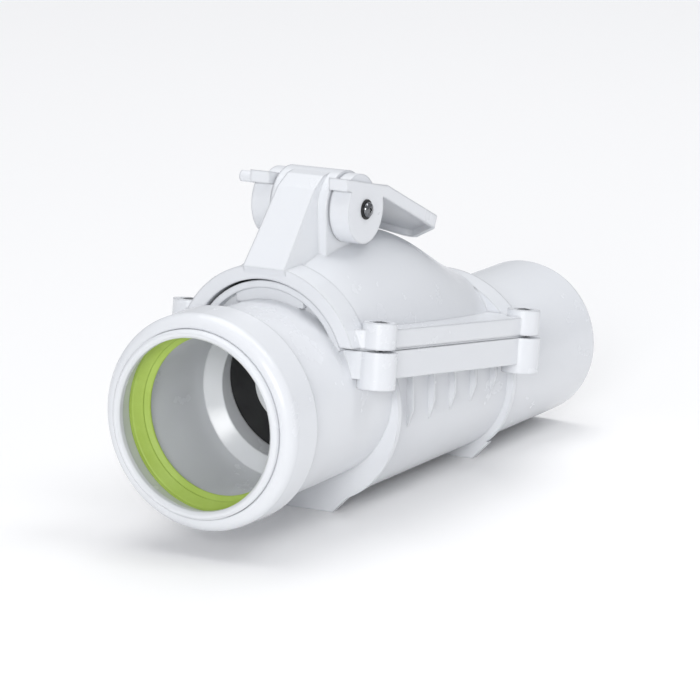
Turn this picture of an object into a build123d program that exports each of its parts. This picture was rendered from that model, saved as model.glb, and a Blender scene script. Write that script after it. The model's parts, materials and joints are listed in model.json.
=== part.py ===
import os
from math import cos, pi, radians, sin, tan

from build123d import *

os.makedirs("parts", exist_ok=True)

# Backwater valve for 110 mm drain pipe, in millimetres.
# X runs along the pipe in the direction of flow, Z is up, and the origin is
# the centre of the inlet socket's bore where the bore begins.

# Pipe connections
pipe_radius = 55.0
socket_clearance = 0.35
socket_depth = 98.0
outlet_drop = 27.0
spigot_wall = 3.4
spigot_chamfer = 3.0
overall_length = 440.0

# Inlet socket: bead, seal groove and barrel
bead_radius = 70.0
bead_length = 33.0
bead_step = 3.0
bead_nose = 9.0
nose_setback = 2.5
barrel_radius = 63.0
barrel_draft = 1.0
ring_radius = 60.6
ring_snap_radius = 62.4
ring_snap_start = 6.0
ring_bore_radius = 57.1
ring_land = 4.0
ring_depth = 17.6
groove_radius = 64.4
groove_depth = 13.4
fit_gap = 0.3
seal_lip_radius = 55.5
seal_body_radius = 59.0

# Seat and flap
seat_tilt = 8.0
seat_radius = 45.0
seat_land = 4.0
seat_cavity_radius = 57.0
pivot_x = 122.0
pivot_z = 72.0
pivot_to_seat = 17.0
flap_radius = 49.0
flap_thickness = 4.0
flap_seal_thickness = 3.0
flap_seal_inset = 1.5
clamp_radius = 25.0
clamp_thickness = 2.6
clamp_screw_circle = 14.0
clamp_screw_radius = 1.75
flap_arm_inner = 8.0
flap_arm_width = 6.0
flap_rib_height = 4.0
flap_rib_width = 2.6
hinge_boss_radius = 6.5
hinge_pin_radius = 3.0
hinge_bush_radius = 4.2
bracket_gap = 0.5
bracket_width = 6.0
bracket_radius = 8.0
clip_thickness = 1.2
clip_radius = 5.5
running_gap = 0.05

# Flange between housing and cover
joint_tilt = 8.07
joint_height = 49.7
flange_beyond_arch = 8.0
flange_front_x = 93.0
flange_rear_x = 318.0
flange_corner_radius = 16.0
ledge_thickness = 5.0
skirt_height = 18.0
skirt_wall = 4.0
gasket_thickness = 1.6
gasket_inset = 4.0
gasket_width = 8.0
cover_rim_height = 12.0
front_boss_x = 105.5
rear_boss_x = 299.0
boss_inset = 3.7
housing_boss_radius = 12.5
housing_boss_length = 24.0
cover_boss_radius = 11.0
cover_boss_height = 17.0
cover_screw_radius = 3.0
cover_counterbore_radius = 6.5
cover_counterbore_depth = 3.0
cover_screw_head_radius = 6.0
cover_screw_head_height = 3.6
cover_screw_length = 38.0
cross_recess_length = 6.4
cross_recess_width = 1.3
cross_recess_depth = 2.4
gasket_hole_radius = 4.5
screw_hole_radius = 3.3
nut_flat_radius = 5.0
nut_height = 5.0

# Arched ends of the flange
arch_over_barrel = 4.0
front_arch_z = 20.0
front_arch_x = 85.0
front_arch_band = 9.4
front_arch_length = 20.0
front_wall_x = 95.0
front_wall_thickness = 6.0
front_lip = 7.0
front_block_half_width = 25.0
rear_arch_radius = 71.0
rear_arch_band = 8.2
rear_arch_length = 17.0
rear_wall_x = 312.0
rear_wall_thickness = 2.9
rear_arch_overhang = 6.1

# Chamber and feet
chamber_radius = 54.2
chamber_wall = 3.4
rib_pitch = 28.3
rib_count = 5
first_rib_x = 174.0
rib_thickness = 3.0
rib_half_width = 58.5
front_plate_x = 138.0
front_plate_radius = 67.5
front_plate_z = -13.5
front_foot_half_width = 18.0
rear_plate_x = 310.0
rear_plate_radius = 59.2
rear_foot_half_width = 27.5
plate_thickness = 5.0
floor_z = -85.2
foot_height = 13.0

# Dome: half width and crest height at each station along the pipe
dome_wall = 3.6
dome_x = (97.0, 128.0, 160.0, 192.0, 226.0, 262.0, 292.0, 314.0)
dome_half_width = (62.0, 61.5, 60.5, 59.0, 56.5, 52.5, 47.5, 43.0)
dome_crest = (84.0, 91.0, 95.0, 94.0, 86.0, 68.5, 54.0, 43.0)

# Tower and locking shaft
shaft_x = 150.0
shaft_z = 115.5
shaft_radius = 6.0
tower_half_width = 15.4
tower_top_half_width = 13.5
tower_foot_z = 85.0
tower_top_z = 140.0
tower_barrel_radius = 24.0
tower_barrel_half_width = 21.0
tower_wall = 4.0
crank_room_half_width = 11.2
o_ring_wire = 1.6
cheek_gap = 1.3
cheek_thickness = 14.0
cheek_radius = 22.4
hub_thickness = 8.6
lever_screw_radius = 2.5
lever_screw_head_radius = 5.0
lever_screw_head_height = 3.0
washer_radius = 6.5
washer_thickness = 1.0
lever_plate_thickness = 8.0
paddle_thickness = 3.6
paddle_rim_height = 8.3
paddle_rim_width = 3.0
paddle_slope = 25.2
paddle_side_length = 72.0
paddle_length = 111.0
paddle_overlap = 2.6
paddle_corner_radius = 8.0
lever_front_x = 127.0
lever_top_z = 138.6
lever_bend_x = 180.0
lever_bend_z = 126.0
lever_screw_bite = 9.5
clamp_screw_bite = 2.0
plunger_pad_length = 9.0
stop_half_width = 6.0
stop_top = 23.5
stop_bottom = 36.0
clip_groove_radius = 2.4
lug_length = 9.0
lug_radius = 3.7

# Locking plunger
crank_throw = 13.0
crank_swing = 80.0
crank_pin_radius = 3.0
crank_web_thickness = 5.0
crank_hub_radius = 10.0
crank_gap = 1.0
plunger_slot_clearance = 0.45
plunger_half_width = 4.5
plunger_offset_x = 8.5
plunger_thickness = 5.0
plunger_head_length = 13.0
plunger_head_wall = 3.0
plunger_foot_z = 58.7
plunger_pad_thickness = 1.5
pad_gap = 0.3
guide_bottom_z = 85.0
guide_top_z = 99.0
guide_half_length = 7.0
crank_pin_web_radius = 5.5
cross_pin_radius = 1.25
shaft_end = 30.0
drive_flat = 4.6
o_ring_place = 16.5

# Derived places
socket_bore_radius = pipe_radius + socket_clearance
front_arch_radius = barrel_radius + arch_over_barrel
flange_half_width = front_arch_radius + flange_beyond_arch
boss_y = flange_half_width - boss_inset
entry_chamfer = ring_bore_radius - socket_bore_radius
groove_start = ring_depth
groove_end = groove_start + groove_depth
tilt = radians(joint_tilt)
tilt_slope = tan(tilt)
seat_angle = radians(seat_tilt)
chamber_inner_radius = chamber_radius - chamber_wall
spigot_bore_radius = pipe_radius - spigot_wall
plate_rear_x = front_plate_x + plate_thickness
plunger_x = pivot_x + plunger_offset_x + plunger_thickness / 2
tower_outline = (
    (83.0, 85.0),
    (98.5, 102.0),
    (114.5, 120.5),
    (124.0, 131.0),
    (135.0, 137.5),
    (150.0, 139.5),
    (165.0, 134.0),
    (174.0, 115.5),
    (176.0, 80.0),
    (90.0, 70.0),
)
crank_room = (
    (126.5, guide_top_z),
    (126.5, 126.0),
    (130.0, 131.4),
    (147.0, 134.5),
    (168.0, 120.0),
    (168.0, 80.0),
    (142.0, 80.0),
    (142.0, guide_top_z),
)

bracket_inner = flap_arm_inner + flap_arm_width + bracket_gap
clip_middle = bracket_inner + bracket_width + fit_gap + clip_thickness / 2
hinge_pin_half_length = clip_middle + clip_thickness / 2 + 1.5
crank_middle = plunger_half_width + crank_gap + crank_web_thickness / 2
crank_half_swing = radians(crank_swing / 2)
crank_pin_spot = (-crank_throw * cos(crank_half_swing), crank_throw * sin(crank_half_swing))
plunger_head_z = shaft_z + crank_throw * sin(crank_half_swing)
cheek_middle = tower_barrel_half_width + cheek_gap + cheek_thickness / 2
cheek_outer = cheek_middle + cheek_thickness / 2
hub_middle = tower_barrel_half_width + cheek_gap + hub_thickness / 2


def joint_z(x):
    """Height of the flange's joint face at a place along the pipe."""
    return joint_height - x * tilt_slope


def along_joint(x):
    """Distance down the sloping joint face from the front bosses."""
    return (x - front_boss_x) / cos(tilt)


def flap_point(down, behind):
    """Place in the XZ plane: down the closed flap from the pivot, and behind it."""
    x = pivot_x + down * sin(seat_angle) + behind * cos(seat_angle)
    z = pivot_z - down * cos(seat_angle) + behind * sin(seat_angle)
    return x, z


def dome_arch(base, half_width, crest):
    """Points from side to side over a half ellipse that stands on its base."""
    turns = [pi * step / 8 for step in range(9)]
    return [(-half_width * cos(turn), base + (crest - base) * sin(turn)) for turn in turns]


# The joint face slopes down towards the outlet
joint_plane = Plane(
    origin=(front_boss_x, 0, joint_z(front_boss_x)),
    x_dir=(cos(tilt), 0, -sin(tilt)),
    z_dir=(sin(tilt), 0, cos(tilt)),
)
cover_plane = joint_plane.offset(gasket_thickness)
boss_spots = [
    (along_joint(x), side * boss_y) for x in (front_boss_x, rear_boss_x) for side in (-1, 1)
]
flange_length = along_joint(flange_rear_x) - along_joint(flange_front_x)
flange_middle = (along_joint(flange_rear_x) + along_joint(flange_front_x)) / 2

# The closed flap leans on a seat whose foot lies further downstream
seat_centre_down = (pivot_z - pivot_to_seat * sin(seat_angle)) / cos(seat_angle)
seat_x, seat_z = flap_point(seat_centre_down, -pivot_to_seat)
seat_normal = (cos(seat_angle), 0, sin(seat_angle))
seat_plane = Plane(origin=(seat_x, 0, seat_z), x_dir=(0, 1, 0), z_dir=seat_normal)
funnel_end_x = seat_x - seat_radius * sin(seat_angle) - seat_land
flap_plane = Plane(
    origin=(pivot_x, 0, pivot_z),
    x_dir=(sin(seat_angle), 0, -cos(seat_angle)),
    z_dir=seat_normal,
)
flap_side = Plane(
    origin=(pivot_x, 0, pivot_z),
    x_dir=(sin(seat_angle), 0, -cos(seat_angle)),
    z_dir=(0, -1, 0),
)
flap_back = flap_seal_thickness + flap_thickness - pivot_to_seat
flap_arm_outline = (
    (0.0, hinge_boss_radius),
    (22.0, 1.0),
    (56.0, flap_back + 0.5),
    (56.0, flap_back - 2.0),
    (26.0, flap_back - 2.0),
    (0.0, -hinge_boss_radius),
)
stop_outline = (
    (pivot_x - 8.5, pivot_z - stop_top),
    (pivot_x + plunger_offset_x - pad_gap, pivot_z - stop_top),
    (pivot_x + plunger_offset_x - pad_gap, pivot_z - stop_bottom),
    (pivot_x - 6.8, pivot_z - stop_bottom),
)

# Seen from the side, the lever is a strip over the cheeks and a paddle behind them
shaft_plane = Plane(origin=(shaft_x, 0, shaft_z), x_dir=(1, 0, 0), z_dir=(0, -1, 0))
lever_front = (lever_front_x, lever_top_z)
lever_bend = (lever_bend_x, lever_bend_z)
cheek_top = (
    lever_front,
    lever_bend,
    (lever_bend_x, lever_bend_z - lever_plate_thickness),
    (lever_front_x, lever_top_z - lever_plate_thickness),
)
above_cheek = (
    (lever_front_x - 5.0, lever_top_z + 1.0),
    lever_front,
    lever_bend,
    (lever_bend_x, lever_top_z + cheek_radius),
    (lever_front_x - 5.0, lever_top_z + cheek_radius),
)
paddle_angle = radians(paddle_slope)
paddle_plane = Plane(
    origin=(lever_bend_x, 0, lever_bend_z),
    x_dir=(cos(paddle_angle), 0, -sin(paddle_angle)),
    z_dir=(sin(paddle_angle), 0, cos(paddle_angle)),
)
paddle_outline = (
    (-paddle_overlap, -cheek_outer),
    (paddle_side_length, -cheek_outer),
    (paddle_length, 0.0),
    (paddle_side_length, cheek_outer),
    (-paddle_overlap, cheek_outer),
)
lug_spot = (lever_front_x + 4.2 - shaft_x, lever_top_z - 5.6 - shaft_z)

# The inlet socket, its seat and the chamber, the flange, the feet and the spigot
with BuildPart() as housing:
    with BuildSketch(joint_plane):
        with Locations((flange_middle, 0)):
            RectangleRounded(flange_length, 2 * flange_half_width, flange_corner_radius)
    extrude(amount=-skirt_height)
    with BuildSketch(joint_plane.offset(-ledge_thickness)):
        with Locations((flange_middle, 0)):
            RectangleRounded(
                flange_length - 2 * skirt_wall,
                2 * (flange_half_width - skirt_wall),
                flange_corner_radius - skirt_wall,
            )
    extrude(amount=-skirt_height, mode=Mode.SUBTRACT)
    with BuildSketch(joint_plane):
        with Locations(*boss_spots):
            Circle(housing_boss_radius)
    extrude(amount=-housing_boss_length)

    with BuildSketch(Plane.XZ):
        with BuildLine():
            nose = ThreePointArc(
                (nose_setback, bead_radius - bead_nose),
                (nose_setback + 0.22 * bead_nose, bead_radius - 0.32 * bead_nose),
                (nose_setback + bead_nose, bead_radius - 0.4),
            )
            Polyline(
                nose @ 1,
                (bead_length, bead_radius),
                (bead_length + bead_step, barrel_radius + barrel_draft),
                (plate_rear_x, barrel_radius),
                (plate_rear_x, 0),
                (nose_setback, 0),
                nose @ 0,
            )
        make_face()
    revolve(axis=Axis.X)

    with BuildSketch(Plane.YZ.offset(front_wall_x)):
        with Locations((0, front_arch_z)):
            Circle(front_arch_radius - front_arch_band - gasket_thickness)
    extrude(amount=front_wall_thickness)
    with BuildSketch(Plane.YZ.offset(front_wall_x - front_lip)):
        with Locations((0, front_arch_z)):
            Circle(front_arch_radius - front_arch_band - gasket_thickness)
            Circle(front_arch_radius - front_arch_band - 6.0, mode=Mode.SUBTRACT)
        with Locations((0, joint_z(front_wall_x) - front_arch_radius)):
            Rectangle(3 * front_arch_radius, 2 * front_arch_radius, mode=Mode.SUBTRACT)
    extrude(amount=front_lip)
    with BuildSketch(Plane.YZ.offset(front_wall_x - front_lip + 2.5)):
        with Locations((0, front_arch_z)):
            Circle(front_arch_radius - front_arch_band - gasket_thickness)
        with Locations((0, barrel_radius + front_block_half_width)):
            Rectangle(
                2 * front_block_half_width,
                2 * front_block_half_width + 6.0,
                mode=Mode.INTERSECT,
            )
    extrude(amount=front_lip)

    with BuildSketch(Plane.YZ.offset(front_plate_x)):
        with BuildLine():
            Polyline(
                (-chamber_radius, -outlet_drop),
                (-chamber_radius, joint_z(front_plate_x)),
                (chamber_radius, joint_z(front_plate_x)),
                (chamber_radius, -outlet_drop),
            )
            RadiusArc((chamber_radius, -outlet_drop), (-chamber_radius, -outlet_drop), chamber_radius)
        make_face()
    extrude(amount=rear_wall_x - front_plate_x)

    # Side ribs from the flange down to the widest part of the chamber
    for rib in range(rib_count):
        with BuildSketch(Plane.YZ.offset(first_rib_x + rib * rib_pitch - rib_thickness / 2)):
            with BuildLine():
                Polyline(
                    (chamber_radius - 3.0, -outlet_drop - 4.0),
                    (chamber_radius, -outlet_drop - 4.0),
                    (rib_half_width, -outlet_drop + 8.0),
                    (rib_half_width, joint_z(first_rib_x + rib * rib_pitch) - 2.0),
                    (chamber_radius - 3.0, joint_z(first_rib_x + rib * rib_pitch) - 2.0),
                    (chamber_radius - 3.0, -outlet_drop - 4.0),
                )
            make_face()
            mirror(about=Plane.YZ)
        extrude(amount=rib_thickness)

    # Everything above the joint face comes off between the seat and the rear wall
    with BuildSketch(Plane.XZ):
        with BuildLine():
            Polyline(
                (seat_x - joint_z(seat_x) * tan(seat_angle), joint_z(seat_x) + 0.5),
                (rear_wall_x, joint_z(rear_wall_x)),
                (rear_wall_x, 2 * pivot_z),
                (seat_x - 2 * pivot_z * tan(seat_angle), 2 * pivot_z),
                (seat_x - joint_z(seat_x) * tan(seat_angle), joint_z(seat_x) + 0.5),
            )
        make_face()
    extrude(amount=2 * front_arch_radius, both=True, mode=Mode.SUBTRACT)

    # Web plates, each with a flat foot
    for plate_x, radius, centre_z, foot in (
        (front_plate_x, front_plate_radius, front_plate_z, front_foot_half_width),
        (rear_plate_x, rear_plate_radius, -outlet_drop, rear_foot_half_width),
    ):
        plate_top = joint_z(plate_x) - ledge_thickness
        with BuildSketch(Plane.YZ.offset(plate_x)):
            with Locations((0, centre_z)):
                Circle(radius)
            with BuildLine():
                Polyline(
                    (-foot, floor_z),
                    (foot, floor_z),
                    (foot + foot_height, floor_z + foot_height),
                    (-foot - foot_height, floor_z + foot_height),
                    (-foot, floor_z),
                )
            make_face()
            with Locations((0, floor_z - radius)):
                Rectangle(4 * radius, 2 * radius, mode=Mode.SUBTRACT)
            with Locations((0, plate_top + radius)):
                Rectangle(4 * radius, 2 * radius, mode=Mode.SUBTRACT)
        extrude(amount=plate_thickness)

    # Rear wall with its arch over the spigot, and the spigot
    with BuildSketch(Plane.YZ.offset(rear_wall_x)):
        with Locations((0, -outlet_drop)):
            Circle(rear_arch_radius - rear_arch_band - gasket_thickness)
        with Locations((0, joint_z(rear_wall_x) - 10.0 - rear_arch_radius)):
            Rectangle(4 * rear_arch_radius, 2 * rear_arch_radius, mode=Mode.SUBTRACT)
    extrude(amount=rear_wall_thickness)
    with BuildSketch(Plane.YZ.offset(rear_wall_x + rear_wall_thickness)):
        with Locations((0, -outlet_drop)):
            Circle(rear_arch_radius - rear_arch_band)
    extrude(amount=overall_length, mode=Mode.SUBTRACT)
    with BuildSketch(Plane.YZ.offset(rear_wall_x)):
        with Locations((0, -outlet_drop)):
            Circle(pipe_radius)
    extrude(amount=overall_length - rear_wall_x)
    outlet_edge = housing.edges().filter_by(GeomType.CIRCLE).sort_by(Axis.X)[-1]
    chamfer(outlet_edge, length=spigot_chamfer, length2=spigot_chamfer / 3)

    # Bores: socket, seal groove, funnel, the space behind the seat, chamber and spigot
    with BuildSketch(Plane.XZ):
        with BuildLine():
            Polyline(
                (0, 0),
                (0, ring_radius + fit_gap),
                (ring_snap_start, ring_radius + fit_gap),
                (ring_snap_start, ring_snap_radius + fit_gap),
                (groove_start, ring_snap_radius + fit_gap),
                (groove_start, groove_radius + fit_gap),
                (groove_end, groove_radius + fit_gap),
                (groove_end, socket_bore_radius),
                (socket_depth, socket_bore_radius),
                (funnel_end_x, seat_radius),
                (seat_x + 2 * seat_land, seat_radius),
                (seat_x + 2 * seat_land, 0),
                (0, 0),
            )
        make_face()
    revolve(axis=Axis.X, mode=Mode.SUBTRACT)
    with BuildSketch(seat_plane):
        Circle(seat_cavity_radius)
    extrude(amount=plate_rear_x - seat_x - 2.5, mode=Mode.SUBTRACT)
    with BuildSketch(Plane.YZ.offset(front_plate_x - 4.0)):
        with BuildLine():
            Polyline(
                (-chamber_inner_radius, 0),
                (-chamber_inner_radius, 2 * joint_height),
                (chamber_inner_radius, 2 * joint_height),
                (chamber_inner_radius, 0),
            )
            RadiusArc((chamber_inner_radius, 0), (-chamber_inner_radius, 0), chamber_inner_radius)
        make_face()
    extrude(amount=plate_thickness + 5.0, mode=Mode.SUBTRACT)
    with BuildSketch(Plane.YZ.offset(plate_rear_x)):
        with BuildLine():
            Polyline(
                (-chamber_inner_radius, -outlet_drop),
                (-chamber_inner_radius, 2 * joint_height),
                (chamber_inner_radius, 2 * joint_height),
                (chamber_inner_radius, -outlet_drop),
            )
            RadiusArc(
                (chamber_inner_radius, -outlet_drop),
                (-chamber_inner_radius, -outlet_drop),
                chamber_inner_radius,
            )
        make_face()
    extrude(amount=rear_wall_x - plate_rear_x, mode=Mode.SUBTRACT)
    with BuildSketch(Plane.YZ.offset(rear_wall_x - 1.0)):
        with Locations((0, -outlet_drop)):
            Circle(spigot_bore_radius)
    extrude(amount=overall_length, mode=Mode.SUBTRACT)

    # Brackets that carry the flap's hinge pin
    for side in (-1, 1):
        bracket_middle = side * (bracket_inner + bracket_width / 2)
        with BuildSketch(Plane.XZ.offset(-bracket_middle)):
            with Locations((pivot_x, pivot_z)):
                Circle(bracket_radius)
            with BuildLine():
                Polyline(
                    (front_wall_x + 3.0, barrel_radius - 5.5),
                    (front_wall_x + 3.0, barrel_radius + 6.0),
                    (pivot_x - 2.0, pivot_z + bracket_radius - 0.2),
                    (pivot_x + 2.0, pivot_z - bracket_radius + 0.2),
                    (seat_x - 7.5, barrel_radius - 5.5),
                    (front_wall_x + 3.0, barrel_radius - 5.5),
                )
            make_face()
        extrude(amount=bracket_width / 2, both=True)
    with BuildSketch(Plane.XZ):
        with Locations((pivot_x, pivot_z)):
            Circle(hinge_pin_radius + running_gap)
    extrude(amount=bracket_inner + bracket_width + 1.0, both=True, mode=Mode.SUBTRACT)

    # Screw holes through the bosses, with a hexagon pocket for each nut
    with BuildSketch(joint_plane):
        with Locations(*boss_spots):
            Circle(screw_hole_radius)
    extrude(amount=-housing_boss_length, mode=Mode.SUBTRACT)
    with BuildSketch(joint_plane.offset(-housing_boss_length)):
        with Locations(*boss_spots):
            RegularPolygon(nut_flat_radius + fit_gap, 6, major_radius=False)
    extrude(amount=nut_height + 1.0, mode=Mode.SUBTRACT)
housing.part.label = "housing"
export_step(housing.part, "parts/housing.step")

# Snap ring that closes the seal's groove at the mouth of the socket
with BuildPart() as seal_retaining_ring:
    with BuildSketch(Plane.XZ):
        with BuildLine():
            Polyline(
                (-entry_chamfer, ring_bore_radius),
                (-entry_chamfer, ring_radius - entry_chamfer),
                (0, ring_radius),
                (ring_snap_start + fit_gap, ring_radius),
                (ring_snap_start + fit_gap, ring_snap_radius),
                (ring_depth - fit_gap, ring_snap_radius),
                (ring_depth - fit_gap, seal_body_radius + 0.6),
                (1.5 * ring_land, ring_bore_radius + 0.4),
                (ring_land, socket_bore_radius),
                (0, socket_bore_radius),
                (-entry_chamfer, ring_bore_radius),
            )
        make_face()
    revolve(axis=Axis.X)
seal_retaining_ring.part.label = "seal_retaining_ring"
export_step(seal_retaining_ring.part, "parts/seal_retaining_ring.step")

# Lip seal: a body that fills the groove and two lips that lean inwards
with BuildPart() as socket_seal:
    with BuildSketch(Plane.XZ):
        with BuildLine():
            Polyline(
                (groove_start + fit_gap, groove_radius),
                (groove_end - fit_gap, groove_radius),
                (groove_end - fit_gap, seal_lip_radius),
                (groove_end - 2.6, seal_lip_radius),
                (groove_end - 5.4, seal_lip_radius + 2.2),
                (groove_end - 6.8, seal_lip_radius + 0.4),
                (groove_end - 8.6, seal_lip_radius + 0.4),
                (groove_start + 2.6, seal_body_radius),
                (groove_start + fit_gap, seal_body_radius + 0.6),
                (groove_start + fit_gap, groove_radius),
            )
        make_face()
    revolve(axis=Axis.X)
socket_seal.part.label = "socket_seal"
export_step(socket_seal.part, "parts/socket_seal.step")

# Outer block of the tower, which narrows upwards
with BuildPart() as tower_block:
    with BuildSketch(Plane.XZ):
        with BuildLine():
            Polyline(*tower_outline, tower_outline[0])
        make_face()
    extrude(amount=tower_half_width, both=True)
    with BuildSketch(Plane.YZ):
        with BuildLine():
            Polyline(
                (-tower_half_width, barrel_radius),
                (-tower_half_width, tower_foot_z),
                (-tower_top_half_width, tower_top_z),
                (tower_top_half_width, tower_top_z),
                (tower_half_width, tower_foot_z),
                (tower_half_width, barrel_radius),
                (-tower_half_width, barrel_radius),
            )
        make_face()
    extrude(amount=2 * shaft_x, mode=Mode.INTERSECT)

# Cover: rim, bosses, arched ends, a dome over the flap and the tower of the shaft
with BuildPart() as cover:
    for x, half_width, crest in zip(dome_x, dome_half_width, dome_crest):
        arch = dome_arch(joint_z(x) - 2.0, half_width, crest)
        with BuildSketch(Plane.YZ.offset(x)):
            with BuildLine():
                Spline(*arch, tangents=((0, 1), (0, -1)))
                Line(arch[-1], arch[0])
            make_face()
    loft()
    with BuildSketch(cover_plane):
        with Locations((flange_middle, 0)):
            RectangleRounded(flange_length, 2 * flange_half_width, flange_corner_radius)
    extrude(amount=cover_rim_height)
    with BuildSketch(cover_plane):
        with Locations(*boss_spots):
            Circle(cover_boss_radius)
    extrude(amount=cover_boss_height)
    with BuildSketch(Plane.YZ.offset(front_arch_x)):
        with Locations((0, front_arch_z)):
            Circle(front_arch_radius)
    extrude(amount=front_arch_length)
    with BuildSketch(Plane.YZ.offset(rear_wall_x + rear_wall_thickness + rear_arch_overhang)):
        with Locations((0, -outlet_drop)):
            Circle(rear_arch_radius)
    extrude(amount=-rear_arch_length)

    # Tower, and the barrel in which the locking shaft turns
    add(tower_block.part)
    with BuildSketch(Plane.XZ):
        with Locations((shaft_x, shaft_z)):
            Circle(tower_barrel_radius)
        with Locations((shaft_x, (shaft_z + guide_bottom_z) / 2)):
            Rectangle(2 * tower_barrel_radius, shaft_z - guide_bottom_z)
    extrude(amount=tower_barrel_half_width, both=True)

    with BuildSketch(cover_plane):
        Rectangle(3 * overall_length, overall_length)
    extrude(amount=-overall_length, mode=Mode.SUBTRACT)

    # Hollow of the rim, the dome and the arched ends
    with BuildSketch(cover_plane):
        with Locations((flange_middle, 0)):
            RectangleRounded(
                flange_length - 2 * (gasket_inset + gasket_width),
                2 * (flange_half_width - gasket_inset - gasket_width),
                gasket_inset,
            )
    extrude(amount=cover_rim_height - dome_wall, mode=Mode.SUBTRACT)
    for x, half_width, crest in zip(dome_x, dome_half_width, dome_crest):
        place = min(max(x, dome_x[0] + 2 * dome_wall), dome_x[-1] - 2 * dome_wall)
        arch = dome_arch(joint_z(place) - 2.0, half_width - dome_wall, crest - dome_wall)
        with BuildSketch(Plane.YZ.offset(place)):
            with BuildLine():
                Spline(*arch, tangents=((0, 1), (0, -1)))
                Line(arch[-1], arch[0])
            make_face()
    loft(mode=Mode.SUBTRACT)
    with BuildSketch(Plane.YZ.offset(front_arch_x - 1.0)):
        with Locations((0, front_arch_z)):
            Circle(front_arch_radius - front_arch_band)
    extrude(amount=front_arch_length + 2.0, mode=Mode.SUBTRACT)
    with BuildSketch(Plane.YZ.offset(rear_wall_x + rear_arch_length)):
        with Locations((0, -outlet_drop)):
            Circle(rear_arch_radius - rear_arch_band)
    extrude(amount=-rear_arch_length - 6.0, mode=Mode.SUBTRACT)

    # Room for the crank in the tower, with a guide for the plunger in its floor
    with BuildSketch(Plane.XZ):
        with Locations((shaft_x, shaft_z)):
            Circle(tower_barrel_radius - tower_wall)
        with BuildLine():
            Polyline(*crank_room, crank_room[0])
        make_face()
    extrude(amount=crank_room_half_width, both=True, mode=Mode.SUBTRACT)
    with BuildSketch(Plane.XZ):
        with Locations((plunger_x, (guide_bottom_z + guide_top_z) / 2)):
            Rectangle(2 * guide_half_length, guide_top_z - guide_bottom_z)
    extrude(amount=crank_room_half_width + 1.0, both=True)
    with BuildSketch(Plane.XY.offset(guide_bottom_z - 1.0)):
        with Locations((plunger_x, 0)):
            Rectangle(plunger_thickness + 2 * fit_gap, 2 * (plunger_half_width + fit_gap))
    extrude(amount=guide_top_z - guide_bottom_z + 2.0, mode=Mode.SUBTRACT)
    with BuildSketch(Plane.XZ):
        with Locations((shaft_x, shaft_z)):
            Circle(shaft_radius + running_gap)
    extrude(amount=2 * tower_barrel_half_width, both=True, mode=Mode.SUBTRACT)

    # Screw holes, each with a counterbore for the head
    with BuildSketch(cover_plane.offset(-1.0)):
        with Locations(*boss_spots):
            Circle(screw_hole_radius)
    extrude(amount=cover_boss_height + 2.0, mode=Mode.SUBTRACT)
    with BuildSketch(cover_plane.offset(cover_boss_height - cover_counterbore_depth)):
        with Locations(*boss_spots):
            Circle(cover_counterbore_radius)
    extrude(amount=cover_counterbore_depth + 1.0, mode=Mode.SUBTRACT)
cover.part.label = "cover"
export_step(cover.part, "parts/cover.step")

# Gasket between housing and cover, flat on the flange and arched at both ends
with BuildPart() as cover_gasket:
    with BuildSketch(joint_plane):
        with Locations((flange_middle, 0)):
            RectangleRounded(
                flange_length - 2 * gasket_inset,
                2 * (flange_half_width - gasket_inset),
                flange_corner_radius - gasket_inset,
            )
            RectangleRounded(
                flange_length - 2 * (gasket_inset + gasket_width),
                2 * (flange_half_width - gasket_inset - gasket_width),
                gasket_inset,
                mode=Mode.SUBTRACT,
            )
        with Locations(*boss_spots):
            Circle(gasket_hole_radius, mode=Mode.SUBTRACT)
    extrude(amount=gasket_thickness)
    with BuildSketch(Plane.YZ.offset(front_wall_x + fit_gap)):
        with Locations((0, front_arch_z)):
            Circle(front_arch_radius - front_arch_band)
    extrude(amount=front_wall_thickness - 2 * fit_gap)
    with BuildSketch(Plane.YZ.offset(rear_wall_x + fit_gap)):
        with Locations((0, -outlet_drop)):
            Circle(rear_arch_radius - rear_arch_band)
    extrude(amount=rear_wall_thickness - 2 * fit_gap)
    with BuildSketch(joint_plane):
        Rectangle(3 * overall_length, overall_length)
    extrude(amount=-overall_length, mode=Mode.SUBTRACT)
    with BuildSketch(Plane.YZ.offset(front_wall_x - 1.0)):
        with Locations((0, front_arch_z)):
            Circle(front_arch_radius - front_arch_band - gasket_thickness)
    extrude(amount=3 * front_wall_thickness, mode=Mode.SUBTRACT)
    with BuildSketch(Plane.YZ.offset(flange_rear_x)):
        with Locations((0, -outlet_drop)):
            Circle(rear_arch_radius - rear_arch_band - gasket_thickness)
    extrude(amount=-5 * rear_wall_thickness, mode=Mode.SUBTRACT)
cover_gasket.part.label = "cover_gasket"
export_step(cover_gasket.part, "parts/cover_gasket.step")

# Four screws and four nuts that close the cover
with BuildPart() as cover_screws:
    with BuildSketch(cover_plane.offset(cover_boss_height - cover_counterbore_depth)):
        with Locations(*boss_spots):
            Circle(cover_screw_head_radius)
    extrude(amount=cover_screw_head_height / 2)
    with BuildSketch(cover_plane.offset(cover_boss_height - cover_counterbore_depth + 1.0)):
        with Locations(*boss_spots):
            Circle(cover_screw_head_radius)
    extrude(amount=cover_screw_head_height - 1.0, taper=20)
    with BuildSketch(cover_plane.offset(cover_boss_height - cover_counterbore_depth)):
        with Locations(*boss_spots):
            Circle(cover_screw_radius)
    extrude(amount=-cover_screw_length)
    with BuildSketch(cover_plane.offset(cover_boss_height)):
        with Locations(*boss_spots):
            Rectangle(cross_recess_length, cross_recess_width)
            Rectangle(cross_recess_width, cross_recess_length)
    extrude(amount=-cross_recess_depth, mode=Mode.SUBTRACT)
cover_screws.part.label = "cover_screws"
export_step(cover_screws.part, "parts/cover_screws.step")

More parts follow.
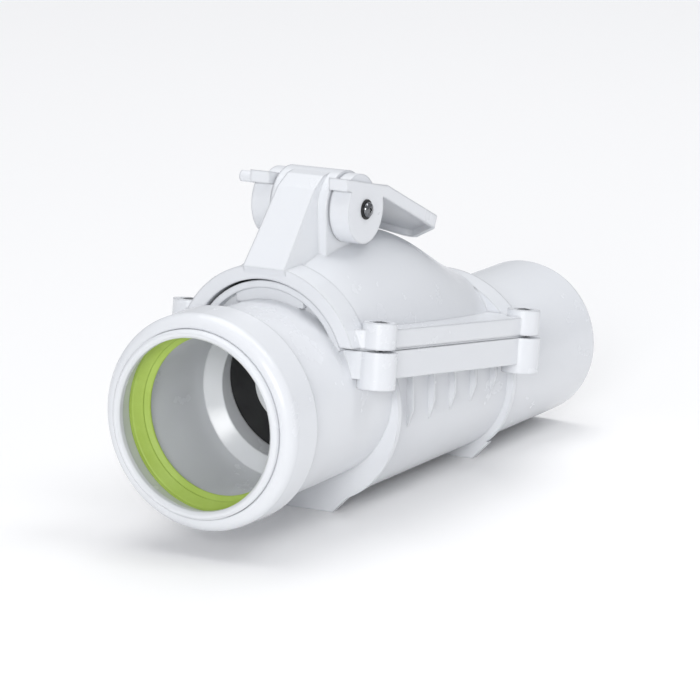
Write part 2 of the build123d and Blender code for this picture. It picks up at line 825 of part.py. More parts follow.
with BuildPart() as cover_nuts:
    with BuildSketch(joint_plane.offset(-housing_boss_length + 1.0)):
        with Locations(*boss_spots):
            RegularPolygon(nut_flat_radius, 6, major_radius=False)
            Circle(cover_screw_radius + running_gap, mode=Mode.SUBTRACT)
    extrude(amount=nut_height)
cover_nuts.part.label = "cover_nuts"
export_step(cover_nuts.part, "parts/cover_nuts.step")

# Flap: a disc that closes the seat, two arms with pivot eyes, and a stop block
with BuildPart() as flap:
    with BuildSketch(flap_plane.offset(flap_back - flap_thickness)):
        with Locations((seat_centre_down, 0)):
            Circle(flap_radius)
    extrude(amount=flap_thickness)
    with BuildSketch(flap_plane.offset(flap_back)):
        with Locations((seat_centre_down, 0)):
            Circle(flap_radius - flap_rib_width)
            Circle(flap_radius - 2 * flap_rib_width, mode=Mode.SUBTRACT)
            Circle(clamp_screw_circle + 2 * flap_rib_height)
            Circle(clamp_screw_circle + 2 * flap_rib_height - flap_rib_width, mode=Mode.SUBTRACT)
            Rectangle(flap_rib_width, 2 * (flap_radius - flap_rib_width))
            Rectangle(2 * (flap_radius - flap_rib_width), flap_rib_width)
        with Locations((seat_centre_down, 0)):
            Circle(clamp_screw_circle + 4.0, mode=Mode.SUBTRACT)
    extrude(amount=flap_rib_height)
    for side in (-1, 1):
        arm_middle = side * (flap_arm_inner + flap_arm_width / 2)
        with BuildSketch(flap_side.offset(-arm_middle)):
            Circle(hinge_boss_radius)
            with BuildLine():
                Polyline(*flap_arm_outline, flap_arm_outline[0])
            make_face()
        extrude(amount=flap_arm_width / 2, both=True)
    with BuildSketch(Plane.XZ):
        with BuildLine():
            Polyline(*stop_outline, stop_outline[0])
        make_face()
    extrude(amount=stop_half_width, both=True)
    with BuildSketch(flap_side):
        Circle(hinge_bush_radius)
    extrude(amount=bracket_inner, both=True, mode=Mode.SUBTRACT)
    with BuildSketch(flap_plane.offset(flap_back - 2 * flap_thickness)):
        with Locations((seat_centre_down, 0)):
            with PolarLocations(clamp_screw_circle, 3):
                Circle(clamp_screw_radius + running_gap)
    extrude(amount=4 * flap_thickness, mode=Mode.SUBTRACT)
flap.part.label = "flap"
export_step(flap.part, "parts/flap.step")

with BuildPart() as flap_seal:
    with BuildSketch(flap_plane.offset(running_gap - pivot_to_seat)):
        with Locations((seat_centre_down, 0)):
            Circle(flap_radius - flap_seal_inset)
            with PolarLocations(clamp_screw_circle, 3):
                Circle(clamp_screw_radius + running_gap, mode=Mode.SUBTRACT)
    extrude(amount=flap_seal_thickness - running_gap)
flap_seal.part.label = "flap_seal"
export_step(flap_seal.part, "parts/flap_seal.step")

# Disc that clamps the seal to the flap from the inlet side
with BuildPart() as flap_clamp_disc:
    with BuildSketch(flap_plane.offset(running_gap - pivot_to_seat)):
        with Locations((seat_centre_down, 0)):
            Circle(clamp_radius)
    extrude(amount=-clamp_thickness)
    chamfer(flap_clamp_disc.edges().group_by(Axis.X)[0], length=0.8)
    with BuildSketch(flap_plane.offset(running_gap - pivot_to_seat)):
        with Locations((seat_centre_down, 0)):
            with PolarLocations(clamp_screw_circle, 3):
                Circle(clamp_screw_radius + running_gap)
    extrude(amount=-clamp_screw_bite - 0.2, mode=Mode.SUBTRACT)
flap_clamp_disc.part.label = "flap_clamp_disc"
export_step(flap_clamp_disc.part, "parts/flap_clamp_disc.step")

with BuildPart() as clamp_screws:
    with BuildSketch(flap_plane.offset(flap_back)):
        with Locations((seat_centre_down, 0)):
            with PolarLocations(clamp_screw_circle, 3):
                Circle(2 * clamp_screw_radius)
    extrude(amount=1.2 * clamp_screw_radius)
    with BuildSketch(flap_plane.offset(flap_back)):
        with Locations((seat_centre_down, 0)):
            with PolarLocations(clamp_screw_circle, 3):
                Circle(clamp_screw_radius)
    extrude(amount=-flap_thickness - flap_seal_thickness - clamp_screw_bite)
clamp_screws.part.label = "clamp_screws"
export_step(clamp_screws.part, "parts/clamp_screws.step")

# Hinge pin with a groove near each end, clips in the grooves, and bushes
with BuildPart() as hinge_pin:
    with BuildSketch(flap_side):
        Circle(hinge_pin_radius)
    extrude(amount=hinge_pin_half_length, both=True)
    for side in (-1, 1):
        with BuildSketch(flap_side.offset(side * (clip_middle))):
            Circle(2 * hinge_pin_radius)
            Circle(clip_groove_radius, mode=Mode.SUBTRACT)
        extrude(amount=clip_thickness / 2 + running_gap, both=True, mode=Mode.SUBTRACT)
    chamfer(hinge_pin.edges().group_by(Axis.Y)[0], length=0.5)
    chamfer(hinge_pin.edges().group_by(Axis.Y)[-1], length=0.5)
hinge_pin.part.label = "hinge_pin"
export_step(hinge_pin.part, "parts/hinge_pin.step")

with BuildPart() as hinge_clips:
    for side in (-1, 1):
        with BuildSketch(flap_side.offset(side * (clip_middle))):
            Circle(clip_radius)
            Circle(clip_groove_radius + running_gap / 2, mode=Mode.SUBTRACT)
            with Locations((clip_radius, 0)):
                Rectangle(2 * clip_radius, 2 * clip_groove_radius - 0.8, mode=Mode.SUBTRACT)
        extrude(amount=clip_thickness / 2, both=True)
hinge_clips.part.label = "hinge_clips"
export_step(hinge_clips.part, "parts/hinge_clips.step")

with BuildPart() as hinge_bushes:
    for side in (-1, 1):
        with BuildSketch(flap_side.offset(side * (flap_arm_inner + flap_arm_width / 2))):
            Circle(hinge_bush_radius)
            Circle(hinge_pin_radius + running_gap, mode=Mode.SUBTRACT)
        extrude(amount=flap_arm_width / 2 + 0.2, both=True)
hinge_bushes.part.label = "hinge_bushes"
export_step(hinge_bushes.part, "parts/hinge_bushes.step")

# Shaft across the tower, with flats at both ends and grooves for its O-rings
with BuildPart() as lock_shaft:
    with BuildSketch(shaft_plane):
        Circle(shaft_radius)
    extrude(amount=shaft_end, both=True)
    for side in (-1, 1):
        with BuildSketch(shaft_plane.offset(side * (shaft_end + tower_barrel_half_width) / 2)):
            Rectangle(3 * shaft_radius, 3 * shaft_radius)
            Rectangle(3 * shaft_radius, 2 * drive_flat, mode=Mode.SUBTRACT)
        extrude(amount=(shaft_end - tower_barrel_half_width) / 2, both=True, mode=Mode.SUBTRACT)
        with BuildSketch(shaft_plane.offset(side * o_ring_place)):
            Circle(2 * shaft_radius)
            Circle(shaft_radius - o_ring_wire - running_gap, mode=Mode.SUBTRACT)
        extrude(amount=o_ring_wire / 2 + running_gap, both=True, mode=Mode.SUBTRACT)
        with BuildSketch(shaft_plane.offset(side * shaft_end)):
            Circle(lever_screw_radius + running_gap)
        extrude(amount=-side * lever_screw_bite, mode=Mode.SUBTRACT)
    with BuildSketch(Plane.XY.offset(shaft_z)):
        with Locations((shaft_x, crank_middle)):
            Circle(cross_pin_radius + running_gap)
    extrude(amount=2 * shaft_radius, both=True, mode=Mode.SUBTRACT)
lock_shaft.part.label = "lock_shaft"
export_step(lock_shaft.part, "parts/lock_shaft.step")

with BuildPart() as shaft_o_rings:
    for side in (-1, 1):
        with Locations(Location((shaft_x, side * o_ring_place, shaft_z), (90, 0, 0))):
            Torus(shaft_radius - o_ring_wire / 2, o_ring_wire / 2)
shaft_o_rings.part.label = "shaft_o_rings"
export_step(shaft_o_rings.part, "parts/shaft_o_rings.step")

# Crank on the shaft, its pin in the plunger's slot, and the pin that fixes it
with BuildPart() as crank:
    with BuildSketch(shaft_plane.offset(-crank_middle)):
        Circle(crank_hub_radius)
        with Locations(crank_pin_spot):
            Circle(crank_pin_web_radius)
        make_hull()
    extrude(amount=crank_web_thickness / 2, both=True)
    with BuildSketch(shaft_plane.offset(-crank_middle)):
        Circle(shaft_radius + running_gap)
        with Locations(crank_pin_spot):
            Circle(crank_pin_radius)
    extrude(amount=crank_web_thickness, both=True, mode=Mode.SUBTRACT)
    with BuildSketch(Plane.XY.offset(shaft_z)):
        with Locations((shaft_x, crank_middle)):
            Circle(cross_pin_radius + running_gap)
    extrude(amount=2 * crank_hub_radius, both=True, mode=Mode.SUBTRACT)
crank.part.label = "crank"
export_step(crank.part, "parts/crank.step")

with BuildPart() as crank_pin:
    with BuildSketch(shaft_plane.offset(plunger_half_width)):
        with Locations(crank_pin_spot):
            Circle(crank_pin_radius)
    extrude(amount=-plunger_half_width - crank_middle - crank_web_thickness / 2)
crank_pin.part.label = "crank_pin"
export_step(crank_pin.part, "parts/crank_pin.step")

with BuildPart() as crank_cross_pin:
    with BuildSketch(Plane.XY.offset(shaft_z)):
        with Locations((shaft_x, crank_middle)):
            Circle(cross_pin_radius)
    extrude(amount=crank_hub_radius, both=True)
crank_cross_pin.part.label = "crank_cross_pin"
export_step(crank_cross_pin.part, "parts/crank_cross_pin.step")

# Plunger that blocks the flap when it is down, with a rubber pad on its foot
with BuildPart() as lock_plunger:
    with BuildSketch(Plane.XZ):
        with Locations((plunger_x, (plunger_head_z + plunger_foot_z) / 2)):
            Rectangle(plunger_thickness, plunger_head_z - plunger_foot_z)
        with Locations((plunger_x - plunger_thickness / 2, plunger_head_z)):
            Rectangle(
                plunger_head_length,
                plunger_head_length,
                align=(Align.MIN, Align.CENTER),
            )
        with Locations((plunger_x - plunger_thickness / 2 + plunger_head_wall, plunger_head_z)):
            Rectangle(
                plunger_head_length,
                2 * (crank_pin_radius + plunger_slot_clearance),
                align=(Align.MIN, Align.CENTER),
                mode=Mode.SUBTRACT,
            )
        with Locations((plunger_x - plunger_thickness / 2, plunger_foot_z)):
            Rectangle(
                2 * plunger_pad_thickness,
                2 * plunger_pad_length,
                mode=Mode.SUBTRACT,
            )
    extrude(amount=plunger_half_width, both=True)
lock_plunger.part.label = "lock_plunger"
export_step(lock_plunger.part, "parts/lock_plunger.step")

with BuildPart() as plunger_pad:
    with BuildSketch(Plane.XZ):
        with Locations((plunger_x - plunger_thickness / 2, plunger_foot_z)):
            Rectangle(plunger_pad_thickness, plunger_pad_length, align=(Align.MIN, Align.MIN))
    extrude(amount=plunger_half_width, both=True)
plunger_pad.part.label = "plunger_pad"
export_step(plunger_pad.part, "parts/plunger_pad.step")

# Lever: two cheeks on the shaft's ends, joined by a sloping paddle behind the tower
with BuildPart() as lever:
    with BuildSketch(paddle_plane) as paddle_top:
        with BuildLine():
            Polyline(*paddle_outline, paddle_outline[0])
        make_face()
        fillet(
            [corner for corner in paddle_top.vertices() if corner.X > paddle_overlap],
            paddle_corner_radius,
        )
    extrude(amount=-paddle_rim_height)
    with BuildSketch(paddle_plane.offset(-paddle_thickness)) as paddle_hollow:
        with BuildLine():
            Polyline(*paddle_outline, paddle_outline[0])
        make_face()
        fillet(
            [corner for corner in paddle_hollow.vertices() if corner.X > paddle_overlap],
            paddle_corner_radius,
        )
        offset(amount=-paddle_rim_width)
        Rectangle(6 * paddle_overlap, 2 * (cheek_outer - paddle_rim_width))
    extrude(amount=-paddle_rim_height, mode=Mode.SUBTRACT)
    with BuildSketch(Plane.XZ.offset(-cheek_middle), Plane.XZ.offset(cheek_middle)):
        with Locations((shaft_x, shaft_z)):
            Circle(cheek_radius)
        with BuildLine():
            Polyline(*cheek_top, cheek_top[0])
        make_face()
        with BuildLine():
            Polyline(*above_cheek, above_cheek[0])
        make_face(mode=Mode.SUBTRACT)
    extrude(amount=cheek_thickness / 2, both=True)
    with BuildSketch(Plane.XZ.offset(-hub_middle), Plane.XZ.offset(hub_middle)):
        with Locations((shaft_x, shaft_z)):
            Circle(cheek_radius)
    extrude(amount=hub_thickness / 2, both=True)
    with BuildSketch(shaft_plane.offset(-cheek_middle - cheek_thickness / 2)):
        with Locations(lug_spot):
            Circle(lug_radius)
    extrude(amount=-lug_length)
    for side in (-1, 1):
        with BuildSketch(shaft_plane.offset(side * (shaft_end + 0.2))):
            Circle(shaft_radius + 2 * running_gap)
            Rectangle(
                3 * shaft_radius,
                2 * (drive_flat + 2 * running_gap),
                mode=Mode.INTERSECT,
            )
        extrude(amount=-side * cheek_thickness, mode=Mode.SUBTRACT)
    with BuildSketch(shaft_plane):
        Circle(lever_screw_radius + 2 * running_gap)
    extrude(amount=2 * cheek_middle, both=True, mode=Mode.SUBTRACT)
lever.part.label = "lever"
export_step(lever.part, "parts/lever.step")

with BuildPart() as lever_washers:
    for side in (-1, 1):
        with BuildSketch(shaft_plane.offset(side * cheek_outer)):
            Circle(washer_radius)
            Circle(lever_screw_radius + 2 * running_gap, mode=Mode.SUBTRACT)
        extrude(amount=side * washer_thickness)
lever_washers.part.label = "lever_washers"
export_step(lever_washers.part, "parts/lever_washers.step")

with BuildPart() as lever_screws:
    for side in (-1, 1):
        with BuildSketch(shaft_plane.offset(side * (cheek_outer + washer_thickness))):
            Circle(lever_screw_head_radius)
        extrude(amount=side * lever_screw_head_height)
        with BuildSketch(shaft_plane.offset(side * (cheek_outer + washer_thickness))):
            Circle(lever_screw_radius)
        extrude(amount=side * (shaft_end - lever_screw_bite - cheek_outer))
        with BuildSketch(
            shaft_plane.offset(side * (cheek_outer + washer_thickness + lever_screw_head_height))
        ):
            Rectangle(cross_recess_length, cross_recess_width)
            Rectangle(cross_recess_width, cross_recess_length)
        extrude(amount=-side * cross_recess_depth, mode=Mode.SUBTRACT)
lever_screws.part.label = "lever_screws"
export_step(lever_screws.part, "parts/lever_screws.step")
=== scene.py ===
"""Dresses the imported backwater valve.

Adds its finishes, the lip seal, the screws, the lip of the cover, the floor, the light and the camera.
"""

import json
import math

import bmesh
import bpy
from mathutils import Matrix, Vector


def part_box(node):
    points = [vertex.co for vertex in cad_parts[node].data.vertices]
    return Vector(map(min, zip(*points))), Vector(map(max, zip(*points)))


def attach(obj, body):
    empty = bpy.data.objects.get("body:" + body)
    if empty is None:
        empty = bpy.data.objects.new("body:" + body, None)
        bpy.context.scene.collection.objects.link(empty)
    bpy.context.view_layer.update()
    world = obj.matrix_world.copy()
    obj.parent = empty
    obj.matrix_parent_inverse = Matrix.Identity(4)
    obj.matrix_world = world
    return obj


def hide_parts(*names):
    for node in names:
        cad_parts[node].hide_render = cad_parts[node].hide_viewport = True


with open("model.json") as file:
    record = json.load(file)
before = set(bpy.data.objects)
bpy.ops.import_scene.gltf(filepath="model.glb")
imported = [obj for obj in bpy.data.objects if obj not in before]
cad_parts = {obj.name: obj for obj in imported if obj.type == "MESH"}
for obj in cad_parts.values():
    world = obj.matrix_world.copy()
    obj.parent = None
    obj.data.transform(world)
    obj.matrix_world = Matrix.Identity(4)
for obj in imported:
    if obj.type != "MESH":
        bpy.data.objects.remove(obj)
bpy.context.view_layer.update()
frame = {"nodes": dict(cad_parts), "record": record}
nodes = frame["nodes"]

MM = 0.001

# The valve stands on its two feet
FLOOR_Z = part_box("housing")[0].z

# Where the photograph was taken from
CAMERA_TARGET = Vector((0.1917, 0.0, 0.0108))
CAMERA_AZIMUTH = math.radians(-59.6)
CAMERA_ELEVATION = math.radians(12.7)
CAMERA_DISTANCE = 2.738
CAMERA_SENSOR = 36.0
CAMERA_LENS = 4149.0 / 700.0 * CAMERA_SENSOR


# Node helpers


def node_group(name, inputs, outputs):
    """An empty shader node group with named inputs and outputs."""
    group = bpy.data.node_groups.new(name, "ShaderNodeTree")
    for label, kind, default in inputs:
        socket = group.interface.new_socket(label, in_out="INPUT", socket_type=kind)
        socket.default_value = default
    for label, kind in outputs:
        group.interface.new_socket(label, in_out="OUTPUT", socket_type=kind)
    entry = group.nodes.new("NodeGroupInput")
    leave = group.nodes.new("NodeGroupOutput")
    return group, entry, leave


def add(tree, kind, **settings):
    """A node of that kind, with its properties set."""
    node = tree.nodes.new(kind)
    for name, value in settings.items():
        setattr(node, name, value)
    return node


def math_node(tree, operation, first, second):
    """A Math node whose two inputs are sockets or numbers."""
    node = add(tree, "ShaderNodeMath", operation=operation)
    for index, value in enumerate((first, second)):
        if isinstance(value, bpy.types.NodeSocket):
            tree.links.new(value, node.inputs[index])
        else:
            node.inputs[index].default_value = value
    return node.outputs[0]


def noise(tree, place, scale, detail, roughness):
    """The value of a noise texture at a place, with a scale that may be a socket."""
    node = add(tree, "ShaderNodeTexNoise")
    tree.links.new(place, node.inputs["Vector"])
    if isinstance(scale, bpy.types.NodeSocket):
        tree.links.new(scale, node.inputs["Scale"])
    else:
        node.inputs["Scale"].default_value = scale
    node.inputs["Detail"].default_value = detail
    node.inputs["Roughness"].default_value = roughness
    return node.outputs["Fac"]


def remap(tree, value, low, high, start=0.35, end=0.65):
    """The value between start and end of a noise, spread from low to high."""
    node = add(tree, "ShaderNodeMapRange")
    tree.links.new(value, node.inputs["Value"])
    settings = {"From Min": start, "From Max": end, "To Min": low, "To Max": high}
    for name, number in settings.items():
        node.inputs[name].default_value = number
    return node.outputs["Result"]


def mix_colour(tree, factor, first, second):
    """Two colours mixed by a factor; a Mix node's colour sockets are 6, 7 and output 2."""
    node = add(tree, "ShaderNodeMix", data_type="RGBA")
    for index, socket in ((0, factor), (6, first), (7, second)):
        tree.links.new(socket, node.inputs[index])
    return node.outputs[2]


# Effects shared by several finishes


def moulded_skin_group():
    """Skin of a moulded plastic: slow drift of colour and gloss, and a fine orange peel."""
    group, entry, leave = node_group(
        "moulded_skin",
        [
            ("Colour", "NodeSocketColor", (0.8, 0.8, 0.8, 1)),
            ("Flow colour", "NodeSocketColor", (0.75, 0.76, 0.78, 1)),
            ("Gloss roughness", "NodeSocketFloat", 0.25),
            ("Dull roughness", "NodeSocketFloat", 0.4),
            ("Peel scale", "NodeSocketFloat", 400.0),
        ],
        [
            ("Colour", "NodeSocketColor"),
            ("Roughness", "NodeSocketFloat"),
            ("Height", "NodeSocketFloat"),
        ],
    )
    place = add(group, "ShaderNodeTexCoord").outputs["Object"]
    flow = noise(group, place, 14.0, 3.0, 0.55)
    peel = noise(group, place, entry.outputs["Peel scale"], 2.0, 0.4)
    swirl = noise(group, place, 55.0, 4.0, 0.6)
    tone = remap(group, flow, 0.0, 1.0)
    gloss = math_node(group, "ADD", remap(group, flow, 0.0, 0.6), remap(group, swirl, 0.0, 0.4))
    colour = mix_colour(group, tone, entry.outputs["Colour"], entry.outputs["Flow colour"])
    rough = add(group, "ShaderNodeMapRange")
    group.links.new(gloss, rough.inputs["Value"])
    group.links.new(entry.outputs["Gloss roughness"], rough.inputs["To Min"])
    group.links.new(entry.outputs["Dull roughness"], rough.inputs["To Max"])
    height = math_node(group, "ADD", math_node(group, "MULTIPLY", flow, 2.0), peel)
    group.links.new(colour, leave.inputs["Colour"])
    group.links.new(rough.outputs["Result"], leave.inputs["Roughness"])
    group.links.new(height, leave.inputs["Height"])
    return group


def dust_group():
    """Dust that lies on faces which look up, thicker in patches."""
    group, entry, leave = node_group(
        "settled_dust",
        [
            ("Clean colour", "NodeSocketColor", (0.8, 0.8, 0.8, 1)),
            ("Dust colour", "NodeSocketColor", (0.6, 0.58, 0.55, 1)),
            ("Clean roughness", "NodeSocketFloat", 0.3),
            ("Amount", "NodeSocketFloat", 0.1),
        ],
        [("Colour", "NodeSocketColor"), ("Roughness", "NodeSocketFloat")],
    )
    place = add(group, "ShaderNodeTexCoord").outputs["Object"]
    normal = add(group, "ShaderNodeNewGeometry").outputs["Normal"]
    split = add(group, "ShaderNodeSeparateXYZ")
    group.links.new(normal, split.inputs[0])
    upward = remap(group, split.outputs["Z"], 0.0, 1.0, 0.2, 1.0)
    patches = remap(group, noise(group, place, 90.0, 6.0, 0.7), 0.0, 1.0, 0.4, 0.7)
    mask = math_node(group, "MULTIPLY", upward, patches)
    mask = math_node(group, "MULTIPLY", mask, entry.outputs["Amount"])
    colour = mix_colour(group, mask, entry.outputs["Clean colour"], entry.outputs["Dust colour"])
    dulled = math_node(group, "ADD", entry.outputs["Clean roughness"], mask)
    group.links.new(colour, leave.inputs["Colour"])
    group.links.new(dulled, leave.inputs["Roughness"])
    return group


def rubber_grain_group():
    """Matt rubber: a talc bloom in patches over a fine grain."""
    group, entry, leave = node_group(
        "rubber_grain",
        [
            ("Colour", "NodeSocketColor", (0.4, 0.6, 0.1, 1)),
            ("Bloom colour", "NodeSocketColor", (0.6, 0.7, 0.4, 1)),
            ("Low roughness", "NodeSocketFloat", 0.45),
            ("High roughness", "NodeSocketFloat", 0.7),
        ],
        [
            ("Colour", "NodeSocketColor"),
            ("Roughness", "NodeSocketFloat"),
            ("Height", "NodeSocketFloat"),
        ],
    )
    place = add(group, "ShaderNodeTexCoord").outputs["Object"]
    bloom = remap(group, noise(group, place, 35.0, 4.0, 0.65), 0.0, 1.0, 0.38, 0.72)
    grain = noise(group, place, 1600.0, 2.0, 0.5)
    colour = mix_colour(group, bloom, entry.outputs["Colour"], entry.outputs["Bloom colour"])
    rough = add(group, "ShaderNodeMapRange")
    group.links.new(bloom, rough.inputs["Value"])
    group.links.new(entry.outputs["Low roughness"], rough.inputs["To Min"])
    group.links.new(entry.outputs["High roughness"], rough.inputs["To Max"])
    group.links.new(colour, leave.inputs["Colour"])
    group.links.new(rough.outputs["Result"], leave.inputs["Roughness"])
    group.links.new(grain, leave.inputs["Height"])
    return group


def machined_group():
    """Turned or plated metal: fine tool marks drawn out across the part, and dull spots."""
    group, entry, leave = node_group(
        "machined_marks",
        [
            ("Colour", "NodeSocketColor", (0.6, 0.6, 0.6, 1)),
            ("Dull colour", "NodeSocketColor", (0.4, 0.4, 0.42, 1)),
            ("Bright roughness", "NodeSocketFloat", 0.15),
            ("Dull roughness", "NodeSocketFloat", 0.4),
            ("Mark scale", "NodeSocketFloat", 900.0),
        ],
        [
            ("Colour", "NodeSocketColor"),
            ("Roughness", "NodeSocketFloat"),
            ("Height", "NodeSocketFloat"),
        ],
    )
    place = add(group, "ShaderNodeTexCoord").outputs["Object"]
    stretch = add(group, "ShaderNodeMapping")
    stretch.inputs["Scale"].default_value = (1.0, 0.12, 1.0)
    group.links.new(place, stretch.inputs["Vector"])
    marks = noise(group, stretch.outputs["Vector"], entry.outputs["Mark scale"], 3.0, 0.6)
    spots = remap(group, noise(group, place, 260.0, 3.0, 0.6), 0.0, 1.0, 0.5, 0.75)
    colour = mix_colour(group, spots, entry.outputs["Colour"], entry.outputs["Dull colour"])
    dulled = math_node(group, "MULTIPLY", spots, 0.6)
    wear = math_node(group, "ADD", dulled, remap(group, marks, 0.0, 0.4))
    rough = add(group, "ShaderNodeMapRange")
    group.links.new(wear, rough.inputs["Value"])
    group.links.new(entry.outputs["Bright roughness"], rough.inputs["To Min"])
    group.links.new(entry.outputs["Dull roughness"], rough.inputs["To Max"])
    group.links.new(colour, leave.inputs["Colour"])
    group.links.new(rough.outputs["Result"], leave.inputs["Roughness"])
    group.links.new(marks, leave.inputs["Height"])
    return group


MOULDED_SKIN = moulded_skin_group()
SETTLED_DUST = dust_group()
RUBBER_GRAIN = rubber_grain_group()
MACHINED_MARKS = machined_group()


# Finishes. Edges are the radius of the softened edge and reliefs the depth of the bump, in metres.
EDGE_SAMPLES = 6
RUBBER_EDGE, RUBBER_RELIEF = 0.0004, 0.00004
METAL_EDGE, METAL_RELIEF = 0.0003, 0.00002
METAL_MARK_SCALE = 900.0
DUST_COLOUR = (0.58, 0.57, 0.55, 1)
PLASTIC_IOR = 1.5
RUBBER_SPECULAR = 0.35
GLOSS_WHITE, GLOSS_WHITE_FLOW = (0.725, 0.74, 0.765, 1), (0.715, 0.73, 0.757, 1)


def finish_base(name, group, values, edge_radius, relief):
    """A material with its shader, one shared effect, and a softened edge under its bump."""
    material = bpy.data.materials.new(name)
    material.use_nodes = True
    tree = material.node_tree
    shader = tree.nodes["Principled BSDF"]
    effect = add(tree, "ShaderNodeGroup", node_tree=group)
    for label, value in values.items():
        effect.inputs[label].default_value = value
    edge = add(tree, "ShaderNodeBevel", samples=EDGE_SAMPLES)
    edge.inputs["Radius"].default_value = edge_radius
    bump = add(tree, "ShaderNodeBump")
    bump.inputs["Strength"].default_value = 1.0
    bump.inputs["Distance"].default_value = relief
    tree.links.new(effect.outputs["Height"], bump.inputs["Height"])
    tree.links.new(edge.outputs["Normal"], bump.inputs["Normal"])
    tree.links.new(bump.outputs["Normal"], shader.inputs["Normal"])
    return material, tree, shader, effect


def plastic(name, colour, flow_colour, roughness, peel_scale, edge_radius, relief, dust):
    """Moulded plastic with dust on its upper faces."""
    values = {
        "Colour": colour,
        "Flow colour": flow_colour,
        "Gloss roughness": roughness[0],
        "Dull roughness": roughness[1],
        "Peel scale": peel_scale,
    }
    material, tree, shader, effect = finish_base(name, MOULDED_SKIN, values, edge_radius, relief)
    settled = add(tree, "ShaderNodeGroup", node_tree=SETTLED_DUST)
    settled.inputs["Amount"].default_value = dust
    settled.inputs["Dust colour"].default_value = DUST_COLOUR
    tree.links.new(effect.outputs["Colour"], settled.inputs["Clean colour"])
    tree.links.new(effect.outputs["Roughness"], settled.inputs["Clean roughness"])
    tree.links.new(settled.outputs["Colour"], shader.inputs["Base Color"])
    tree.links.new(settled.outputs["Roughness"], shader.inputs["Roughness"])
    shader.inputs["IOR"].default_value = PLASTIC_IOR
    return material


def rubber(name, colour, bloom_colour, roughness):
    """Matt rubber with a bloom."""
    values = {
        "Colour": colour,
        "Bloom colour": bloom_colour,
        "Low roughness": roughness[0],
        "High roughness": roughness[1],
    }
    material, tree, shader, effect = finish_base(
        name, RUBBER_GRAIN, values, RUBBER_EDGE, RUBBER_RELIEF
    )
    tree.links.new(effect.outputs["Colour"], shader.inputs["Base Color"])
    tree.links.new(effect.outputs["Roughness"], shader.inputs["Roughness"])
    shader.inputs["Specular IOR Level"].default_value = RUBBER_SPECULAR
    return material


def metal(name, colour, dull_colour, roughness):
    """Plated or ground steel."""
    values = {
        "Colour": colour,
        "Dull colour": dull_colour,
        "Bright roughness": roughness[0],
        "Dull roughness": roughness[1],
        "Mark scale": METAL_MARK_SCALE,
    }
    material, tree, shader, effect = finish_base(
        name, MACHINED_MARKS, values, METAL_EDGE, METAL_RELIEF
    )
    tree.links.new(effect.outputs["Colour"], shader.inputs["Base Color"])
    tree.links.new(effect.outputs["Roughness"], shader.inputs["Roughness"])
    shader.inputs["Metallic"].default_value = 1.0
    return material


FINISHES = {
    "shell_plastic": plastic(
        "glossy_white_shell", GLOSS_WHITE, GLOSS_WHITE_FLOW,
        (0.22, 0.28), 420.0, 0.0016, 0.000004, 0.02,
    ),
    "cover_plastic": plastic(
        "glossy_white_cover", GLOSS_WHITE, GLOSS_WHITE_FLOW,
        (0.22, 0.28), 380.0, 0.0024, 0.000004, 0.02,
    ),
    "lever_plastic": plastic(
        "satin_white_lever", (0.74, 0.755, 0.78, 1), (0.73, 0.745, 0.772, 1),
        (0.26, 0.34), 600.0, 0.0022, 0.000004, 0.02,
    ),
    "flap_plastic": plastic(
        "satin_white_flap", (0.76, 0.775, 0.79, 1), (0.73, 0.745, 0.765, 1),
        (0.30, 0.45), 520.0, 0.0008, 0.00005, 0.05,
    ),
    "crank_plastic": plastic(
        "dark_filled_plastic", (0.045, 0.047, 0.052, 1), (0.065, 0.067, 0.072, 1),
        (0.42, 0.60), 1300.0, 0.0005, 0.00008, 0.04,
    ),
    "bush_plastic": plastic(
        "dry_running_plastic", (0.02, 0.02, 0.022, 1), (0.032, 0.032, 0.035, 1),
        (0.38, 0.52), 1500.0, 0.0003, 0.00005, 0.02,
    ),
    "seal_rubber": rubber(
        "yellow_green_seal", (0.39, 0.53, 0.095, 1), (0.45, 0.60, 0.14, 1), (0.40, 0.60)
    ),
    "black_rubber": rubber(
        "black_rubber", (0.012, 0.012, 0.013, 1), (0.030, 0.030, 0.031, 1), (0.45, 0.68)
    ),
    "screw_steel": metal(
        "dark_bright_plating", (0.22, 0.225, 0.235, 1), (0.10, 0.10, 0.11, 1), (0.12, 0.30)
    ),
    "pin_steel": metal(
        "ground_stainless", (0.60, 0.61, 0.63, 1), (0.42, 0.43, 0.45, 1), (0.20, 0.38)
    ),
}

slot_of = {part["node"]: part["material_slot"] for part in frame["record"]["subparts"]}
for name, obj in nodes.items():
    obj.data.materials.clear()
    obj.data.materials.append(FINISHES[slot_of[name]])


# Pieces. Vertices closer than this many metres are joined in a turned shape.
WELD = 1e-7


def piece(name, mesh, slot, body, replaced=()):
    """A finished mesh placed in the frame, riding on a body and taking a slot's finish."""
    obj = bpy.data.objects.new(name, mesh)
    bpy.context.scene.collection.objects.link(obj)
    mesh.materials.append(FINISHES[slot])
    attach(obj, body)
    if replaced:
        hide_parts(*replaced)


def turned(profile, steps, origin, along, closed=True):
    """A bmesh turned about an axis: profile gives (distance along it, radius) in metres."""
    along = Vector(along).normalized()
    side = along.orthogonal().normalized()
    other = along.cross(side)
    shape = bmesh.new()
    rings = []
    for step in range(steps):
        turn = 2 * math.pi * step / steps
        out = side * math.cos(turn) + other * math.sin(turn)
        rings.append([shape.verts.new(origin + along * d + out * r) for d, r in profile])
    count = len(profile)
    spans = count if closed else count - 1
    for step, ring in enumerate(rings):
        following = rings[(step + 1) % steps]
        for k in range(spans):
            nxt = (k + 1) % count
            shape.faces.new((ring[k], ring[nxt], following[nxt], following[k]))
    bmesh.ops.remove_doubles(shape, verts=shape.verts, dist=WELD)
    bmesh.ops.dissolve_degenerate(shape, edges=shape.edges, dist=WELD)
    bmesh.ops.recalc_face_normals(shape, faces=shape.faces)
    return shape


